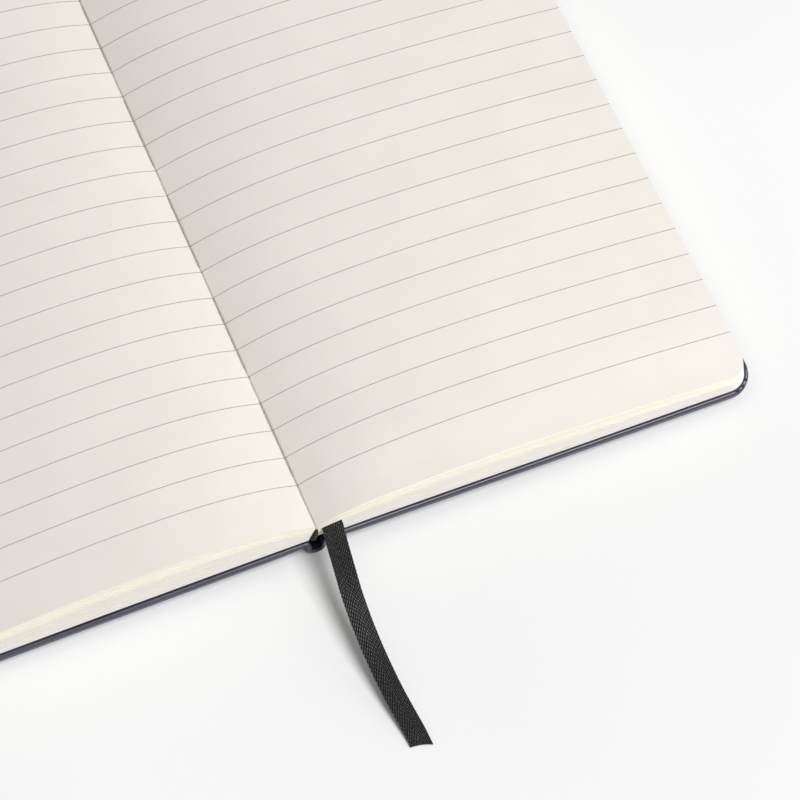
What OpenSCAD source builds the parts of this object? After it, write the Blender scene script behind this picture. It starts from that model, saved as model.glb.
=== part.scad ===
// Hardcover ruled notebook, pocket size, lying open near its middle with a ribbon marker.
// Millimetres. X runs across the spread, Y along the fold towards the head, Z up from the table.
// The origin is on the table, under the fold, halfway between head and tail.

/* [Leaves] */
// Width of a page from the fold to its fore edge, as it lies
page_w = 89.3; // [84:0.1:96]
// Height of a page from tail to head
page_h = 140.5; // [130:0.5:150]
// Radius of the rounded corners of the leaves
page_corner_r = 4.5; // [3:0.5:8]
// Distance that the lowest leaves reach past the open page at the fore edge
fore_lean = 1.1; // [0.4:0.1:1.5]
// Height of the fold above the endpapers beside the spine
fold_rise = 4.25; // [3.8:0.05:4.6]
// Thickness of the leaves that are left over the hollow back at the fold
fold_t = 0.5; // [0.4:0.05:0.7]
// Width of the hollow back between the two halves, where it meets the covers
back_gap_w = 3; // [2.6:0.1:3.2]
// Height that the right-hand leaves climb out of the fold
right_rise = 6.4; // [5.4:0.1:7]
// Height that the right-hand leaves lose again by their fore edge
right_fall = 6.55; // [5.2:0.05:7]
// Height that the left-hand leaves climb out of the fold
left_rise = 7.5; // [6.4:0.1:8]
// Height that the left-hand leaves lose again by their fore edge
left_fall = 8.6; // [6.8:0.1:9]
// Distance in which the leaves make most of their climb
climb_run = 15; // [13:0.5:18]

/* [Covers] */
// Thickness of the greyboard in each cover
board_t = 0.9; // [0.8:0.1:1.6]
// Thickness of the leatherette
leather_t = 0.25; // [0.2:0.05:0.4]
// Overhang of the covers beyond the leaves at head and tail
tail_square = 0.5; // [0.4:0.05:3]
// Overhang of the covers beyond the open page at the fore edge
fore_square = 1.8; // [1.7:0.1:3.5]
// Height of the covers' fore edges above the table, as the book stands on its spine
fore_lift = 1.95; // [0:0.05:2.2]
// Radius of the rounded corners of the covers
cover_corner_r = 5.5; // [4:0.5:10]
// Radius of the leatherette's roll over the board's edge
roll_r = 0.5; // [0.4:0.05:0.6]
// Width of the leatherette turned in on the inner side
turn_in_w = 12; // [8:1:16]
// Thickness of the endpaper pasted inside each cover
paste_t = 0.15; // [0.1:0.05:0.25]
// Margin of leatherette left round the pasted endpaper
paste_margin = 2; // [1.5:0.25:3]
// Radius of the round corners of the pasted endpaper
paste_corner_r = 6; // [3:0.5:12]

/* [Spine] */
// Outer width of the loop that the spine folds into under the fold
loop_w = 3.7; // [3.4:0.1:4]
// Depth of the loop, which is also the height of the cover joints above the table
loop_depth = 3.25; // [2.8:0.05:4]
// Distance from the loop's outer wall to the line that a cover turns about
joint_gap = 0.15; // [0.12:0.01:0.2]
// Length of each cover that reaches past its joint towards the fold
board_lap = 0.6; // [0.56:0.02:0.7]
// Thickness of the card strip inside the spine
inlay_t = 0.25; // [0.2:0.05:0.4]
// Thickness of the cloth glued over the back of the leaves
lining_t = 0.2; // [0.15:0.05:0.3]
// Thickness of the woven band at the head and the tail of the back
band_t = 0.45; // [0.3:0.05:0.55]
// Length of each band along the spine
band_len = 1.5; // [1:0.1:3]
// Length by which each band stands out past the leaves
band_out = 0.4; // [0.2:0.1:0.8]

/* [Ribbon marker] */
// Width of the ribbon
ribbon_w = 4.2; // [3:0.1:4.4]
// Thickness of the ribbon
ribbon_t = 0.3; // [0.2:0.05:0.35]
// Thickness of the leaves over the ribbon
ribbon_cover_t = 2; // [1.4:0.05:2.2]
// Slope across the ribbon where it comes out, in degrees
ribbon_angle = 8; // [4:1:16]
// Distance from the fold to the middle of the ribbon
ribbon_x = 3.2; // [3:0.1:5]
// Distance from the head of the leaves to the glued end of the ribbon
ribbon_head_gap = 4; // [2:0.5:10]

/* [Sewing] */
// Diameter of the sewing thread
thread_d = 0.36; // [0.25:0.01:0.5]
// Length of one stitch along the fold
stitch_len = 17; // [10:0.5:20]
// Distance from one stitch to the next
stitch_pitch = 25; // [22:0.5:27]
// Number of stitches seen in the fold
stitch_count = 5; // [3:1:5]

/* [Hidden] */

paper = "#f4f0e6";
navy = "#41435c";
black_cloth = "#26241f";
greyboard = "#9a9488";

// Play between glued layers, and between the leaves and a closed cover
glue_gap = 0.03;
cover_gap = 0.1;
// Play round the ribbon in its slot
slot_play = 0.12;
// Reach of a cut past the face that it opens, and the short step for a square end
cut_margin = 0.01;
short_step = 0.1;
// Facets of the round corners, of a cover's rim and of the open pages
corner_fn = 64;
corner_steps = 10;
roll_steps = 5;
leaf_steps = 26;

cover_t = board_t + 2 * leather_t + 2 * glue_gap;
cover_h = page_h + 2 * tail_square;
hinge_x = loop_w / 2 + joint_gap;
cover_run = page_w + fore_square - hinge_x;
tilt = atan((loop_depth - fore_lift) / cover_run);
cover_w = cover_run / cos(tilt);
page_base = (cover_t + glue_gap + paste_t + cover_gap) / cos(tilt);
fold_z = base_z(hinge_x) + fold_rise;

// Height of the underside of the leaves, which lies along the covers
function base_z(x) = loop_depth + page_base - (abs(x) - hinge_x) * tan(tilt);
// Height of the open page: a quick climb out of the fold, then a slow fall to the fore edge
function page_z(x) = let (rise = x < 0 ? left_rise : right_rise, fall = x < 0 ? left_fall : right_fall)
    fold_z + rise * (1 - exp(-abs(x) / climb_run)) - fall * pow(x / page_w, 2);

// Outline of a sheet with rounded fore-edge corners and square corners at the fold
module sheet_outline(from_x, to_x, h, r) {
    hull() {
        translate([from_x, -h / 2]) square([short_step, h]);
        for (side = [-1, 1])
            translate([to_x - r, side * (h / 2 - r)]) circle(r, $fn = corner_fn);
    }
}

// Puts a cover's pieces at the joint, sloping down towards the fore edge
module at_right_joint() {
    translate([hinge_x, 0, loop_depth]) rotate([0, tilt, 0]) children();
}

module at_left_joint() {
    mirror([1, 0, 0]) at_right_joint() children();
}

// Round-cornered outline that trims the block, with fore edges that lean in as they rise
module leaf_trim() {
    low_z = base_z(page_w);
    lean = fore_lean / (page_z(page_w) - low_z);
    high_z = fold_z + left_rise + right_rise;
    hull() for (z = [0, high_z], sx = [-1, 1], sy = [-1, 1])
        translate([sx * (page_w + fore_lean - page_corner_r - (z - low_z) * lean),
                sy * (page_h / 2 - page_corner_r), z])
            cylinder(h = cut_margin, r = page_corner_r, $fn = corner_fn);
}

// All leaves of both halves as they lie, less the slot that the ribbon runs in
module text_block() {
    open_w = page_w + fore_lean + 1;
    steps = [for (i = [0:leaf_steps]) open_w * pow(i / leaf_steps, 1.6)];
    half_gap = back_gap_w / 2;
    outline = concat(
        [for (i = [leaf_steps:-1:1]) [-steps[i], page_z(-steps[i])]],
        [for (x = steps) [x, page_z(x)]],
        [[open_w, base_z(open_w)], [half_gap, base_z(half_gap)], [0, fold_z - fold_t],
            [-half_gap, base_z(half_gap)], [-open_w, base_z(open_w)]]);
    color(paper) difference() {
        intersection() {
            rotate([90, 0, 0]) linear_extrude(page_h, center = true) polygon(outline);
            leaf_trim();
        }
        slot_t = ribbon_t + 2 * slot_play;
        slot_w = ribbon_w + 2 * slot_play;
        translate([ribbon_x, -page_h / 2 - 1, ribbon_exit_z])
            rotate([0, -ribbon_angle, 0])
                translate([-slot_w / 2, 0, -slot_t / 2])
                    cube([slot_w, page_h + 1 - ribbon_head_gap + slot_play, slot_t]);
    }
}

// Profile of the hollow back: the notch between the halves, moved in by an offset
module back_profile(inset, low_z) {
    slope = (fold_z - fold_t - base_z(back_gap_w / 2)) / (back_gap_w / 2);
    drop = inset * sqrt(1 + slope * slope);
    top = fold_z - fold_t - drop;
    half = (top - low_z) / slope;
    polygon([[-half, low_z], [0, top], [half, low_z]]);
}

module back_strip(outer, thick, len) {
    low = base_z(back_gap_w / 2);
    rotate([90, 0, 0]) linear_extrude(len, center = true) difference() {
        back_profile(outer, low);
        back_profile(outer + thick, low - cut_margin);
    }
}

module back_lining() {
    color(black_cloth) back_strip(glue_gap, lining_t, page_h - 2 * band_len);
}

// Woven band that closes the end of the hollow back
module band() {
    color(black_cloth) back_strip(glue_gap, band_t, band_len);
}

module tail_band() {
    translate([0, -page_h / 2 + band_len / 2 - band_out, 0]) band();
}

module head_band() {
    mirror([0, 1, 0]) tail_band();
}

// Stitches that lie in the bottom of the fold
module sewing_thread() {
    lift = thread_d / 2 / cos(atan(left_rise / climb_run)) + glue_gap;
    color("#e9e2cf") for (i = [0:stitch_count - 1])
        translate([0, (i - (stitch_count - 1) / 2) * stitch_pitch, fold_z + lift])
            rotate([90, 0, 0]) {
                cylinder(h = stitch_len, d = thread_d, center = true, $fn = 24);
                for (end = [-1, 1])
                    translate([0, 0, end * stitch_len / 2]) sphere(d = thread_d, $fn = 24);
            }
}

// Section of the spine loop, open at the top
module loop_section(r, top) {
    translate([0, loop_w / 2]) circle(r, $fn = corner_fn);
    translate([-r, loop_w / 2]) square([2 * r, top - loop_w / 2]);
}

module loop_wall(outer_r, thick, h) {
    top = loop_depth - 2 * glue_gap;
    rotate([90, 0, 0]) linear_extrude(h, center = true) difference() {
        loop_section(outer_r, top);
        loop_section(outer_r - thick, top + 1);
    }
}

module spine_leatherette() {
    color(navy) loop_wall(loop_w / 2, leather_t, cover_h);
}

module spine_inlay() {
    color(black_cloth) loop_wall(loop_w / 2 - leather_t - glue_gap, inlay_t, page_h);
}

// Rim of a cover, moved in by an inset: two square corners at the spine and two round ones
function rim(inset) = let (bend = cover_corner_r - inset, x = cover_w - cover_corner_r,
        y = cover_h / 2 - cover_corner_r)
    concat([[inset - board_lap, inset - cover_h / 2]],
        [for (i = [0:corner_steps]) let (a = 90 * i / corner_steps - 90)
            [x + bend * cos(a), -y + bend * sin(a)]],
        [for (i = [0:corner_steps]) let (a = 90 * i / corner_steps)
            [x + bend * cos(a), y + bend * sin(a)]],
        [[inset - board_lap, cover_h / 2 - inset]]);

// A cover's outer form, with the leatherette rolled over all its edges
module rolled_slab() {
    turns = [for (i = [0:roll_steps]) 90 * i / roll_steps];
    rings = concat(
        [for (a = turns) [roll_r * (1 - sin(a)), roll_r * (1 - cos(a))]],
        [for (a = turns) [roll_r * (1 - cos(a)), cover_t - roll_r * (1 - sin(a))]]);
    sides = len(rim(0));
    last = (len(rings) - 1) * sides;
    points = [for (ring = rings, p = rim(ring[0])) [p[0], p[1], ring[1]]];
    walls = [for (i = [0:len(rings) - 2], j = [0:sides - 1])
        let (k = (j + 1) % sides, a = i * sides, b = a + sides)
            each [[a + j, b + k, a + k], [a + j, b + j, b + k]]];
    polyhedron(points, concat(walls,
        [[for (j = [0:sides - 1]) j], [for (j = [sides - 1:-1:0]) last + j]]), convexity = 4);
}

// Leatherette wrapped round the board, with its edges turned in
module cover_leatherette() {
    board_z = leather_t;
    color(navy) difference() {
        rolled_slab();
        translate([0, 0, board_z]) linear_extrude(board_t + 2 * glue_gap)
            sheet_outline(leather_t - board_lap, cover_w - leather_t,
                cover_h - 2 * leather_t, cover_corner_r - leather_t);
        translate([0, 0, board_z + board_t]) linear_extrude(cover_t)
            sheet_outline(board_lap + paste_margin, cover_w - turn_in_w,
                cover_h - 2 * turn_in_w, cover_corner_r);
    }
}

module cover_board() {
    edge = leather_t + glue_gap;
    color(greyboard) translate([0, 0, leather_t + glue_gap]) linear_extrude(board_t)
        sheet_outline(edge - board_lap, cover_w - edge, cover_h - 2 * edge, cover_corner_r - edge);
}

// Endpaper pasted over the turned-in edges and down onto the board between them
module cover_pastedown() {
    low_z = cover_t - leather_t + glue_gap;
    top_z = cover_t + glue_gap;
    well = turn_in_w + glue_gap;
    from_x = board_lap + paste_margin + glue_gap;
    color(paper) difference() {
        union() {
            translate([0, 0, top_z]) linear_extrude(paste_t)
                sheet_outline(board_lap, cover_w - paste_margin,
                    cover_h - 2 * paste_margin, paste_corner_r);
            translate([0, 0, low_z]) linear_extrude(top_z - low_z + paste_t / 2)
                sheet_outline(from_x, cover_w - well, cover_h - 2 * well, cover_corner_r);
        }
        translate([0, 0, low_z + paste_t]) linear_extrude(cover_t)
            sheet_outline(from_x + paste_t, cover_w - well - paste_t,
                cover_h - 2 * (well + paste_t), cover_corner_r - paste_t);
    }
}

// Middle line of the ribbon past the tail of the leaves: x, distance out from the tail, height.
// It springs out between the leaves, drops to the table and lies on it at its end.
ribbon_exit_z = page_z(ribbon_x) - ribbon_cover_t - ribbon_t / 2 - slot_play;
ribbon_out = [[3.19, 0.52, 8.17], [2.97, 2.09, 8.1], [2.63, 4.2, 7.9], [2.28, 7.33, 7.45],
    [1.95, 10.44, 6.85], [1.63, 13.5, 6.2], [1.41, 17.56, 5.35], [1.31, 21.59, 4.55],
    [1.36, 25.6, 3.75], [1.53, 29.57, 2.95], [1.81, 33.51, 2.15], [2.23, 37.38, 1.25],
    [2.58, 40.25, 0.64], [2.82, 42.38, 0.3], [2.93, 44.47, 0.2]];
ribbon_route = concat(
    [for (y = [page_h / 2 - ribbon_head_gap, 0, 0.5 - page_h / 2]) [ribbon_x, y, ribbon_exit_z]],
    [for (p = ribbon_out) [p[0], -page_h / 2 - p[1], p[2]]]);

function unit(v) = v / norm(v);
function along(i) = let (last = len(ribbon_route) - 1)
    unit(ribbon_route[min(i + 1, last)] - ribbon_route[max(i - 1, 0)]);
// The ribbon comes out at a slope and turns flat before it lies down
function lean(i) = ribbon_angle * max(0, 1 - max(0, i - 3) / 10);
function across(i) = let (flat = [cos(lean(i)), 0, sin(lean(i))])
    unit(flat - along(i) * (flat * along(i)));

module ribbon_marker() {
    w = ribbon_w / 2;
    t = ribbon_t / 2;
    edge = ribbon_t / 3;
    section = [[w, t - edge], [w - edge, t], [edge - w, t], [-w, t - edge],
        [-w, edge - t], [edge - w, -t], [w - edge, -t], [w, edge - t]];
    sides = len(section);
    rings = len(ribbon_route);
    points = [for (i = [0:rings - 1], p = section)
        ribbon_route[i] + across(i) * p[0] + cross(across(i), along(i)) * p[1]];
    walls = [for (i = [0:rings - 2], j = [0:sides - 1])
        let (k = (j + 1) % sides, a = i * sides, b = a + sides)
            each [[a + j, a + k, b + k], [a + j, b + k, b + j]]];
    ends = [[for (j = [sides - 1:-1:0]) j], [for (j = [0:sides - 1]) (rings - 1) * sides + j]];
    color("#2b2b2b") polyhedron(points, concat(walls, ends), convexity = 4);
}

text_block();
back_lining();
head_band();
tail_band();
sewing_thread();
spine_leatherette();
spine_inlay();
ribbon_marker();
at_left_joint() cover_leatherette();  // front_leatherette
at_left_joint() cover_board();  // front_board
at_left_joint() cover_pastedown();  // front_pastedown
at_right_joint() cover_leatherette();  // back_leatherette
at_right_joint() cover_board();  // back_board
at_right_joint() cover_pastedown();  // back_pastedown
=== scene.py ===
# Open pocket notebook: the camera and the ribbon first, then the leaves, and outwards to the case
import math
import random

import bmesh
import bpy
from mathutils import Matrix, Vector, noise


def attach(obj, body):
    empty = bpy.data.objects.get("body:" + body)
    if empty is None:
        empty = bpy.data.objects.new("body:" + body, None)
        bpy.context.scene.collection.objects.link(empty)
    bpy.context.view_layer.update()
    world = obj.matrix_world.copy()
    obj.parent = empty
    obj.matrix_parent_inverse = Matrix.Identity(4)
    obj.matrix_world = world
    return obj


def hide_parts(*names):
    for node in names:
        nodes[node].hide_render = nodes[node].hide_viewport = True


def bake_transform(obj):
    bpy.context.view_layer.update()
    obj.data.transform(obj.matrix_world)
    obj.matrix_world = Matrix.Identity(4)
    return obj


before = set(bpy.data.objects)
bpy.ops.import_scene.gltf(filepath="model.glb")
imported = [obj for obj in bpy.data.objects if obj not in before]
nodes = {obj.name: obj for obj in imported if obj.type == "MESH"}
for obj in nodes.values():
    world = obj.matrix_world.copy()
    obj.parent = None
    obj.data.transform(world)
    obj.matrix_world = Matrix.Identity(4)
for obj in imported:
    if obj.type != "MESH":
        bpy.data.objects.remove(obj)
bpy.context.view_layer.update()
bpy.ops.object.select_all(action="DESELECT")
scene = bpy.context.scene
scene.view_settings.view_transform = "Standard"
MM = 0.001

# Camera
# It looks over the tail of the open spread from the front and the left, about 60 degrees down,
# from a fairly long way off, so that the covers run nearly parallel across the picture.
lens_data = bpy.data.cameras.new("table_camera")
lens_data.sensor_width = 36
lens_data.lens = 165.56
camera = bpy.data.objects.new("table_camera", lens_data)
scene.collection.objects.link(camera)
camera.location = (-0.10685, -0.37311, 0.6152)
camera_aim = Vector((0.02645, -0.04696, 0.00195))
camera.rotation_euler = (camera_aim - camera.location).to_track_quat("-Z", "Y").to_euler()
scene.camera = camera

# Ribbon marker
# A black polyester ribbon, woven in a herringbone twill. It is glued to the back at the head,
# runs down between the leaves beside the fold, and falls out at the tail onto the table.
ribbon_w, ribbon_t = 4.0, 0.3
ribbon_x, ribbon_exit_z, page_h, ribbon_head_gap = 3.2, 8.19, 140.5, 4
ribbon_lean = math.radians(8)
# Across, past the tail edge, and up: the line that the part that shows hangs and lies in
ribbon_out = [
    (3.19, 0.52, 8.17), (2.97, 2.09, 8.1), (2.63, 4.2, 7.9), (2.28, 7.33, 7.45), (1.95, 10.44, 6.85),
    (1.63, 13.5, 6.2), (1.41, 17.56, 5.35), (1.31, 21.59, 4.55), (1.36, 25.6, 3.75), (1.53, 29.57, 2.95),
    (1.81, 33.51, 2.15), (2.23, 37.38, 1.42), (2.58, 40.25, 0.92), (2.82, 42.38, 0.58),
    (2.93, 44.47, 0.32),
]
ribbon_route = [
    Vector((ribbon_x, y, ribbon_exit_z)) for y in (page_h / 2 - ribbon_head_gap, 0, 0.5 - page_h / 2)
] + [Vector((x, -page_h / 2 - d, z)) for x, d, z in ribbon_out]
hidden_points = 3


def along_route(points, step):
    """Points a step apart on a smooth line through the given ones, each with its place in the list."""
    line = []
    for i in range(len(points) - 1):
        before = points[max(i - 1, 0)]
        after = points[min(i + 2, len(points) - 1)]
        start, end = points[i], points[i + 1]
        count = max(1, round((end - start).length / step))
        leave = (end - before) * (end - start).length / max((end - before).length, 1e-9)
        arrive = (after - start) * (end - start).length / max((after - start).length, 1e-9)
        for k in range(count):
            t = k / count
            line.append((
                i + t,
                start * (2 * t**3 - 3 * t**2 + 1) + leave * (t**3 - 2 * t**2 + t)
                + end * (3 * t**2 - 2 * t**3) + arrive * (t**3 - t**2),
            ))
    return line + [(len(points) - 1, points[-1])]


hidden_step, shown_step = 4, 0.1
inside = along_route(ribbon_route[:hidden_points], hidden_step)[:-1]
outside = [(i + hidden_points - 1, p)
           for i, p in along_route(ribbon_route[hidden_points - 1:], shown_step)]
ribbon_line = inside + outside
ribbon_length = sum((b[1] - a[1]).length for a, b in zip(ribbon_line, ribbon_line[1:]))

# The ribs lie 27 degrees to the ribbon's length and 0.4 mm apart, a little coarser than life so
# that they show. They meet in the middle, and point the other way past a turn in the weave.
rib_pitch, rib_slope, rib_relief, turn_past_tail = 0.94, 1.95, 0.03, 13
weave_turn = page_h - ribbon_head_gap + turn_past_tail


def ribs(across, down):
    """Height of the herringbone ribs at a place across and down the ribbon."""
    return math.sin(2 * math.pi * (rib_slope * abs(across) - abs(down - weave_turn)) / rib_pitch)


def ribbon_section(across_steps=44, edge_w=0.14):
    """Outline of the flat ribbon with rounded edges, as (across, up, side) points."""
    half_w, half_t = ribbon_w / 2, ribbon_t / 2
    outline = []
    for side in (1, -1):
        for k in range(across_steps + 1):
            u = half_w * (2 * k / across_steps - 1) * side
            edge = max(0, (abs(u) - half_w + edge_w) / edge_w)
            outline.append((u, side * half_t * math.sqrt(max(0.0, 1 - 0.9 * edge**2)), side))
    return outline


def smooth(t):
    """Eases from 0 to 1 as t goes from 0 to 1."""
    t = min(1, max(0, t))
    return t * t * (3 - 2 * t)


# The selvedge is scalloped, the middle is a little thinner than the edges, and the cut end is
# hollow and slants. The ribbon leaves the leaves leaning over, and lies flat further down.
scallop_h, selvedge_from, ribs_to, middle_t, flat_after = 0.045, 1.95, 1.98, 0.9, 10
weave_from_point, weave_gain = 1.98, 8
cut_reach, cut_half, cut_hollow, cut_back, cut_slant = 3, 2.1, 0.28, 0.45, 0.6
section = ribbon_section()
points, down = [], 0
for n, (place, point) in enumerate(ribbon_line):
    ahead = ribbon_line[min(n + 1, len(ribbon_line) - 1)][1]
    behind = ribbon_line[max(n - 1, 0)][1]
    run = (ahead - behind).normalized()
    lean = ribbon_lean * max(0, 1 - max(0, place - hidden_points) / flat_after)
    flat = Vector((math.cos(lean), 0, math.sin(lean)))
    across = (flat - run * flat.dot(run)).normalized()
    up = across.cross(run).normalized()
    if up.z < 0:
        up = -up
    down += (point - behind).length
    shows = min(1, max(0, place - weave_from_point) * weave_gain)
    for u, rise, side in section:
        part_way = u / cut_half
        scallop = scallop_h * math.sin(2 * math.pi * down / rib_pitch) * (abs(u) > selvedge_from) * shows
        relief = rib_relief * ribs(u, down) * shows * (abs(u) < ribs_to)
        hollow = cut_hollow * (1 - part_way**2) - cut_back - cut_slant * part_way
        hollow *= smooth(1 - (ribbon_length - down) / cut_reach)
        half_thick = rise * (middle_t + (1 - middle_t) * abs(part_way)) + side * relief
        outwards = across * (u + math.copysign(scallop, u)) + up * half_thick
        points.append((point + outwards - run * hollow, u, down))
sides = len(section)
faces = [
    (a * sides + j, a * sides + (j + 1) % sides, (a + 1) * sides + (j + 1) % sides, (a + 1) * sides + j)
    for a in range(len(ribbon_line) - 1) for j in range(sides)
]
faces += [tuple(range(sides))[::-1], tuple((len(ribbon_line) - 1) * sides + j for j in range(sides))]
ribbon_mesh = bpy.data.meshes.new("ribbon")
ribbon_mesh.from_pydata([p[0] * MM for p in points], [], faces)
ribbon = bpy.data.objects.new("ribbon", ribbon_mesh)
scene.collection.objects.link(ribbon)
weave_uv = ribbon_mesh.uv_layers.new(name="weave_mm")
for loop in ribbon_mesh.loops:
    weave_uv.data[loop.index].uv = points[loop.vertex_index][1:3]


def activate(obj):
    """Makes one object the only selected and the active one."""
    bpy.ops.object.select_all(action="DESELECT")
    obj.select_set(True)
    bpy.context.view_layer.objects.active = obj


def face_outwards(obj):
    activate(obj)
    bpy.ops.object.mode_set(mode="EDIT")
    bpy.ops.mesh.select_all(action="SELECT")
    bpy.ops.mesh.normals_make_consistent(inside=False)
    bpy.ops.object.mode_set(mode="OBJECT")


def linear(hex_colour):
    """A colour written as sRGB hex, turned to the linear values that the shader takes."""
    channels = [int(hex_colour[i:i + 2], 16) / 255 for i in (1, 3, 5)]
    return [c / 12.92 if c <= 0.04045 else ((c + 0.055) / 1.055) ** 2.4 for c in channels] + [1.0]


def new_finish(name, roughness, specular, **more):
    """A material, and its shader with the values that are the same all over the surface."""
    finish = bpy.data.materials.new(name)
    finish.use_nodes = True
    shader = finish.node_tree.nodes["Principled BSDF"]
    shader.inputs["Roughness"].default_value = roughness
    shader.inputs["Specular IOR Level"].default_value = specular
    for socket, value in more.items():
        shader.inputs[socket.replace("_", " ").title()].default_value = value
    return finish, shader


def add(finish, kind, inputs=None, **settings):
    """Adds a node, sets it, and links or fills its inputs."""
    node = finish.node_tree.nodes.new("ShaderNode" + kind)
    for name, value in settings.items():
        setattr(node, name, value)
    for key, value in (inputs or {}).items():
        if isinstance(value, bpy.types.NodeSocket):
            finish.node_tree.links.new(value, node.inputs[key])
        else:
            node.inputs[key].default_value = value
    return node


# Spun polyester has a soft, slightly grey sheen. Each rib is a row of short bright floats
# of the warp yarns, with near-black gaps between them and a few stray light fibres.
ribbon_finish, shader = new_finish("herringbone_polyester_ribbon", roughness=0.4, specular=0.5,
                                   sheen_weight=0.08, sheen_roughness=0.4)
weave = add(ribbon_finish, "UVMap", uv_map="weave_mm")
axes = add(ribbon_finish, "SeparateXYZ", {0: weave.outputs[0]})
mirrored = add(ribbon_finish, "Math", {0: axes.outputs["X"]}, operation="ABSOLUTE")
from_turn = add(ribbon_finish, "Math", {0: axes.outputs["Y"], 1: weave_turn}, operation="SUBTRACT")
turned = add(ribbon_finish, "Math", {0: from_turn.outputs[0]}, operation="ABSOLUTE")
steep = add(ribbon_finish, "Math", {0: mirrored.outputs[0], 1: rib_slope}, operation="MULTIPLY")
slanted = add(ribbon_finish, "Math", {0: steep.outputs[0], 1: turned.outputs[0]}, operation="SUBTRACT")
rib_phase = add(ribbon_finish, "Math", {0: slanted.outputs[0], 1: 2 * math.pi / rib_pitch},
                operation="MULTIPLY")
rib_wave = add(ribbon_finish, "Math", {0: rib_phase.outputs[0]}, operation="SINE")
yarn_pitch = 0.32
yarn_phase = add(ribbon_finish, "Math", {0: axes.outputs["X"], 1: 2 * math.pi / yarn_pitch},
                 operation="MULTIPLY")
yarn_wave = add(ribbon_finish, "Math", {0: yarn_phase.outputs[0]}, operation="COSINE")
float_height = add(ribbon_finish, "Math", {0: yarn_wave.outputs[0], 1: 0.9, 2: rib_wave.outputs[0]},
                   operation="MULTIPLY_ADD")
fibres = add(ribbon_finish, "TexNoise",
             {"Vector": weave.outputs[0], "Scale": 1.5, "Detail": 6, "Roughness": 0.8})
uneven = add(ribbon_finish, "Math", {0: fibres.outputs[0], 1: 3.4, 2: float_height.outputs[0]},
             operation="MULTIPLY_ADD")
# Painted sheen: just past the turn, where the ribbon has been bent, the weave is painted lighter, as if
# it caught more light
bend_past_turn = 6.0
from_bend = add(ribbon_finish, "Math", {0: from_turn.outputs[0], 1: bend_past_turn}, operation="SUBTRACT")
off_bend = add(ribbon_finish, "Math", {0: from_bend.outputs[0]}, operation="ABSOLUTE")
# Painted sheen: lightest within a few mm of the bend, a little darker further off
painted_sheen = add(ribbon_finish, "MapRange", {0: off_bend.outputs[0], 1: 2.0, 2: 13.0, 3: 0.3, 4: -0.2},
               interpolation_type="SMOOTHSTEP")
sheen_painted_weave = add(ribbon_finish, "Math", {0: uneven.outputs[0], 1: painted_sheen.outputs[0]})
brightness = add(ribbon_finish, "MapRange", {0: sheen_painted_weave.outputs[0], 1: 0.5, 2: 3.65})
shade = add(ribbon_finish, "ValToRGB", {0: brightness.outputs[0]})
shade.color_ramp.elements[0].color = linear("#050505")
shade.color_ramp.elements[1].color = linear("#8a8a8c")
shade.color_ramp.elements.new(0.42).color = linear("#0a0a0a")
shade.color_ramp.elements.new(0.75).color = linear("#2b2b2b")
ribbon_finish.node_tree.links.new(shade.outputs[0], shader.inputs["Base Color"])
rib_bump = add(ribbon_finish, "Bump",
               {"Strength": 0.8, "Distance": 0.1 * MM, "Height": float_height.outputs[0]})
ribbon_finish.node_tree.links.new(rib_bump.outputs[0], shader.inputs["Normal"])
ribbon_mesh.materials.append(ribbon_finish)
face_outwards(ribbon)
bpy.ops.object.shade_smooth_by_angle(angle=math.radians(50))
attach(ribbon, "root")
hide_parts("ribbon_marker")

# Table and light
# The notebook lies on a plain white table. The main soft light stands high in front on the right,
# a weak one low on the right and a weaker one low in front, so shadows fall to the left and back.
bpy.ops.mesh.primitive_plane_add(size=6, location=(0, 0, 0))
table = bpy.context.object
table.name = "table"
table_finish, shader = new_finish("white_laminate", roughness=0.9, specular=0.1)
place = add(table_finish, "TexCoord")
from_bright = add(table_finish, "VectorMath", {0: place.outputs["Object"], 1: (0.06, -0.11, 0)},
                  operation="DISTANCE")
# The white is a little deeper where the lamps shine most, which evens out their fall-off
evened = add(table_finish, "MapRange", {0: from_bright.outputs["Value"], 1: 0.04, 2: 0.115})
table_shade = add(table_finish, "Mix",
                  {0: evened.outputs[0], 6: linear("#f4f4f4"), 7: linear("#fcfcfc")}, data_type="RGBA")
table_finish.node_tree.links.new(table_shade.outputs[2], shader.inputs["Base Color"])
table.data.materials.append(table_finish)


def softbox(name, toward, distance, strength, size):
    """A round soft light seen in a direction; strength is the light it gives on the notebook."""
    data = bpy.data.lights.new(name, "AREA")
    data.shape = "DISK"
    data.size = size
    data.energy = strength * math.pi**2 * distance**2
    lamp = bpy.data.objects.new(name, data)
    scene.collection.objects.link(lamp)
    lamp.location = Vector(toward).normalized() * distance
    lamp.rotation_euler = Vector(toward).to_track_quat("Z", "Y").to_euler()


softbox("key_softbox", (0.42, -0.58, 1), 1.3, 0.83, 0.74)
softbox("window_right", (0.9, -0.3, 0.34), 1.2, 0.2, 1.0)
softbox("front_fill", (0.1, -1, 0.36), 1.5, 0.07, 0.34)

room = bpy.data.worlds.new("white_room")
room.use_nodes = True
room.node_tree.nodes["Background"].inputs["Color"].default_value = (1, 1, 1, 1)
room.node_tree.nodes["Background"].inputs["Strength"].default_value = 0.21
scene.world = room

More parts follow.
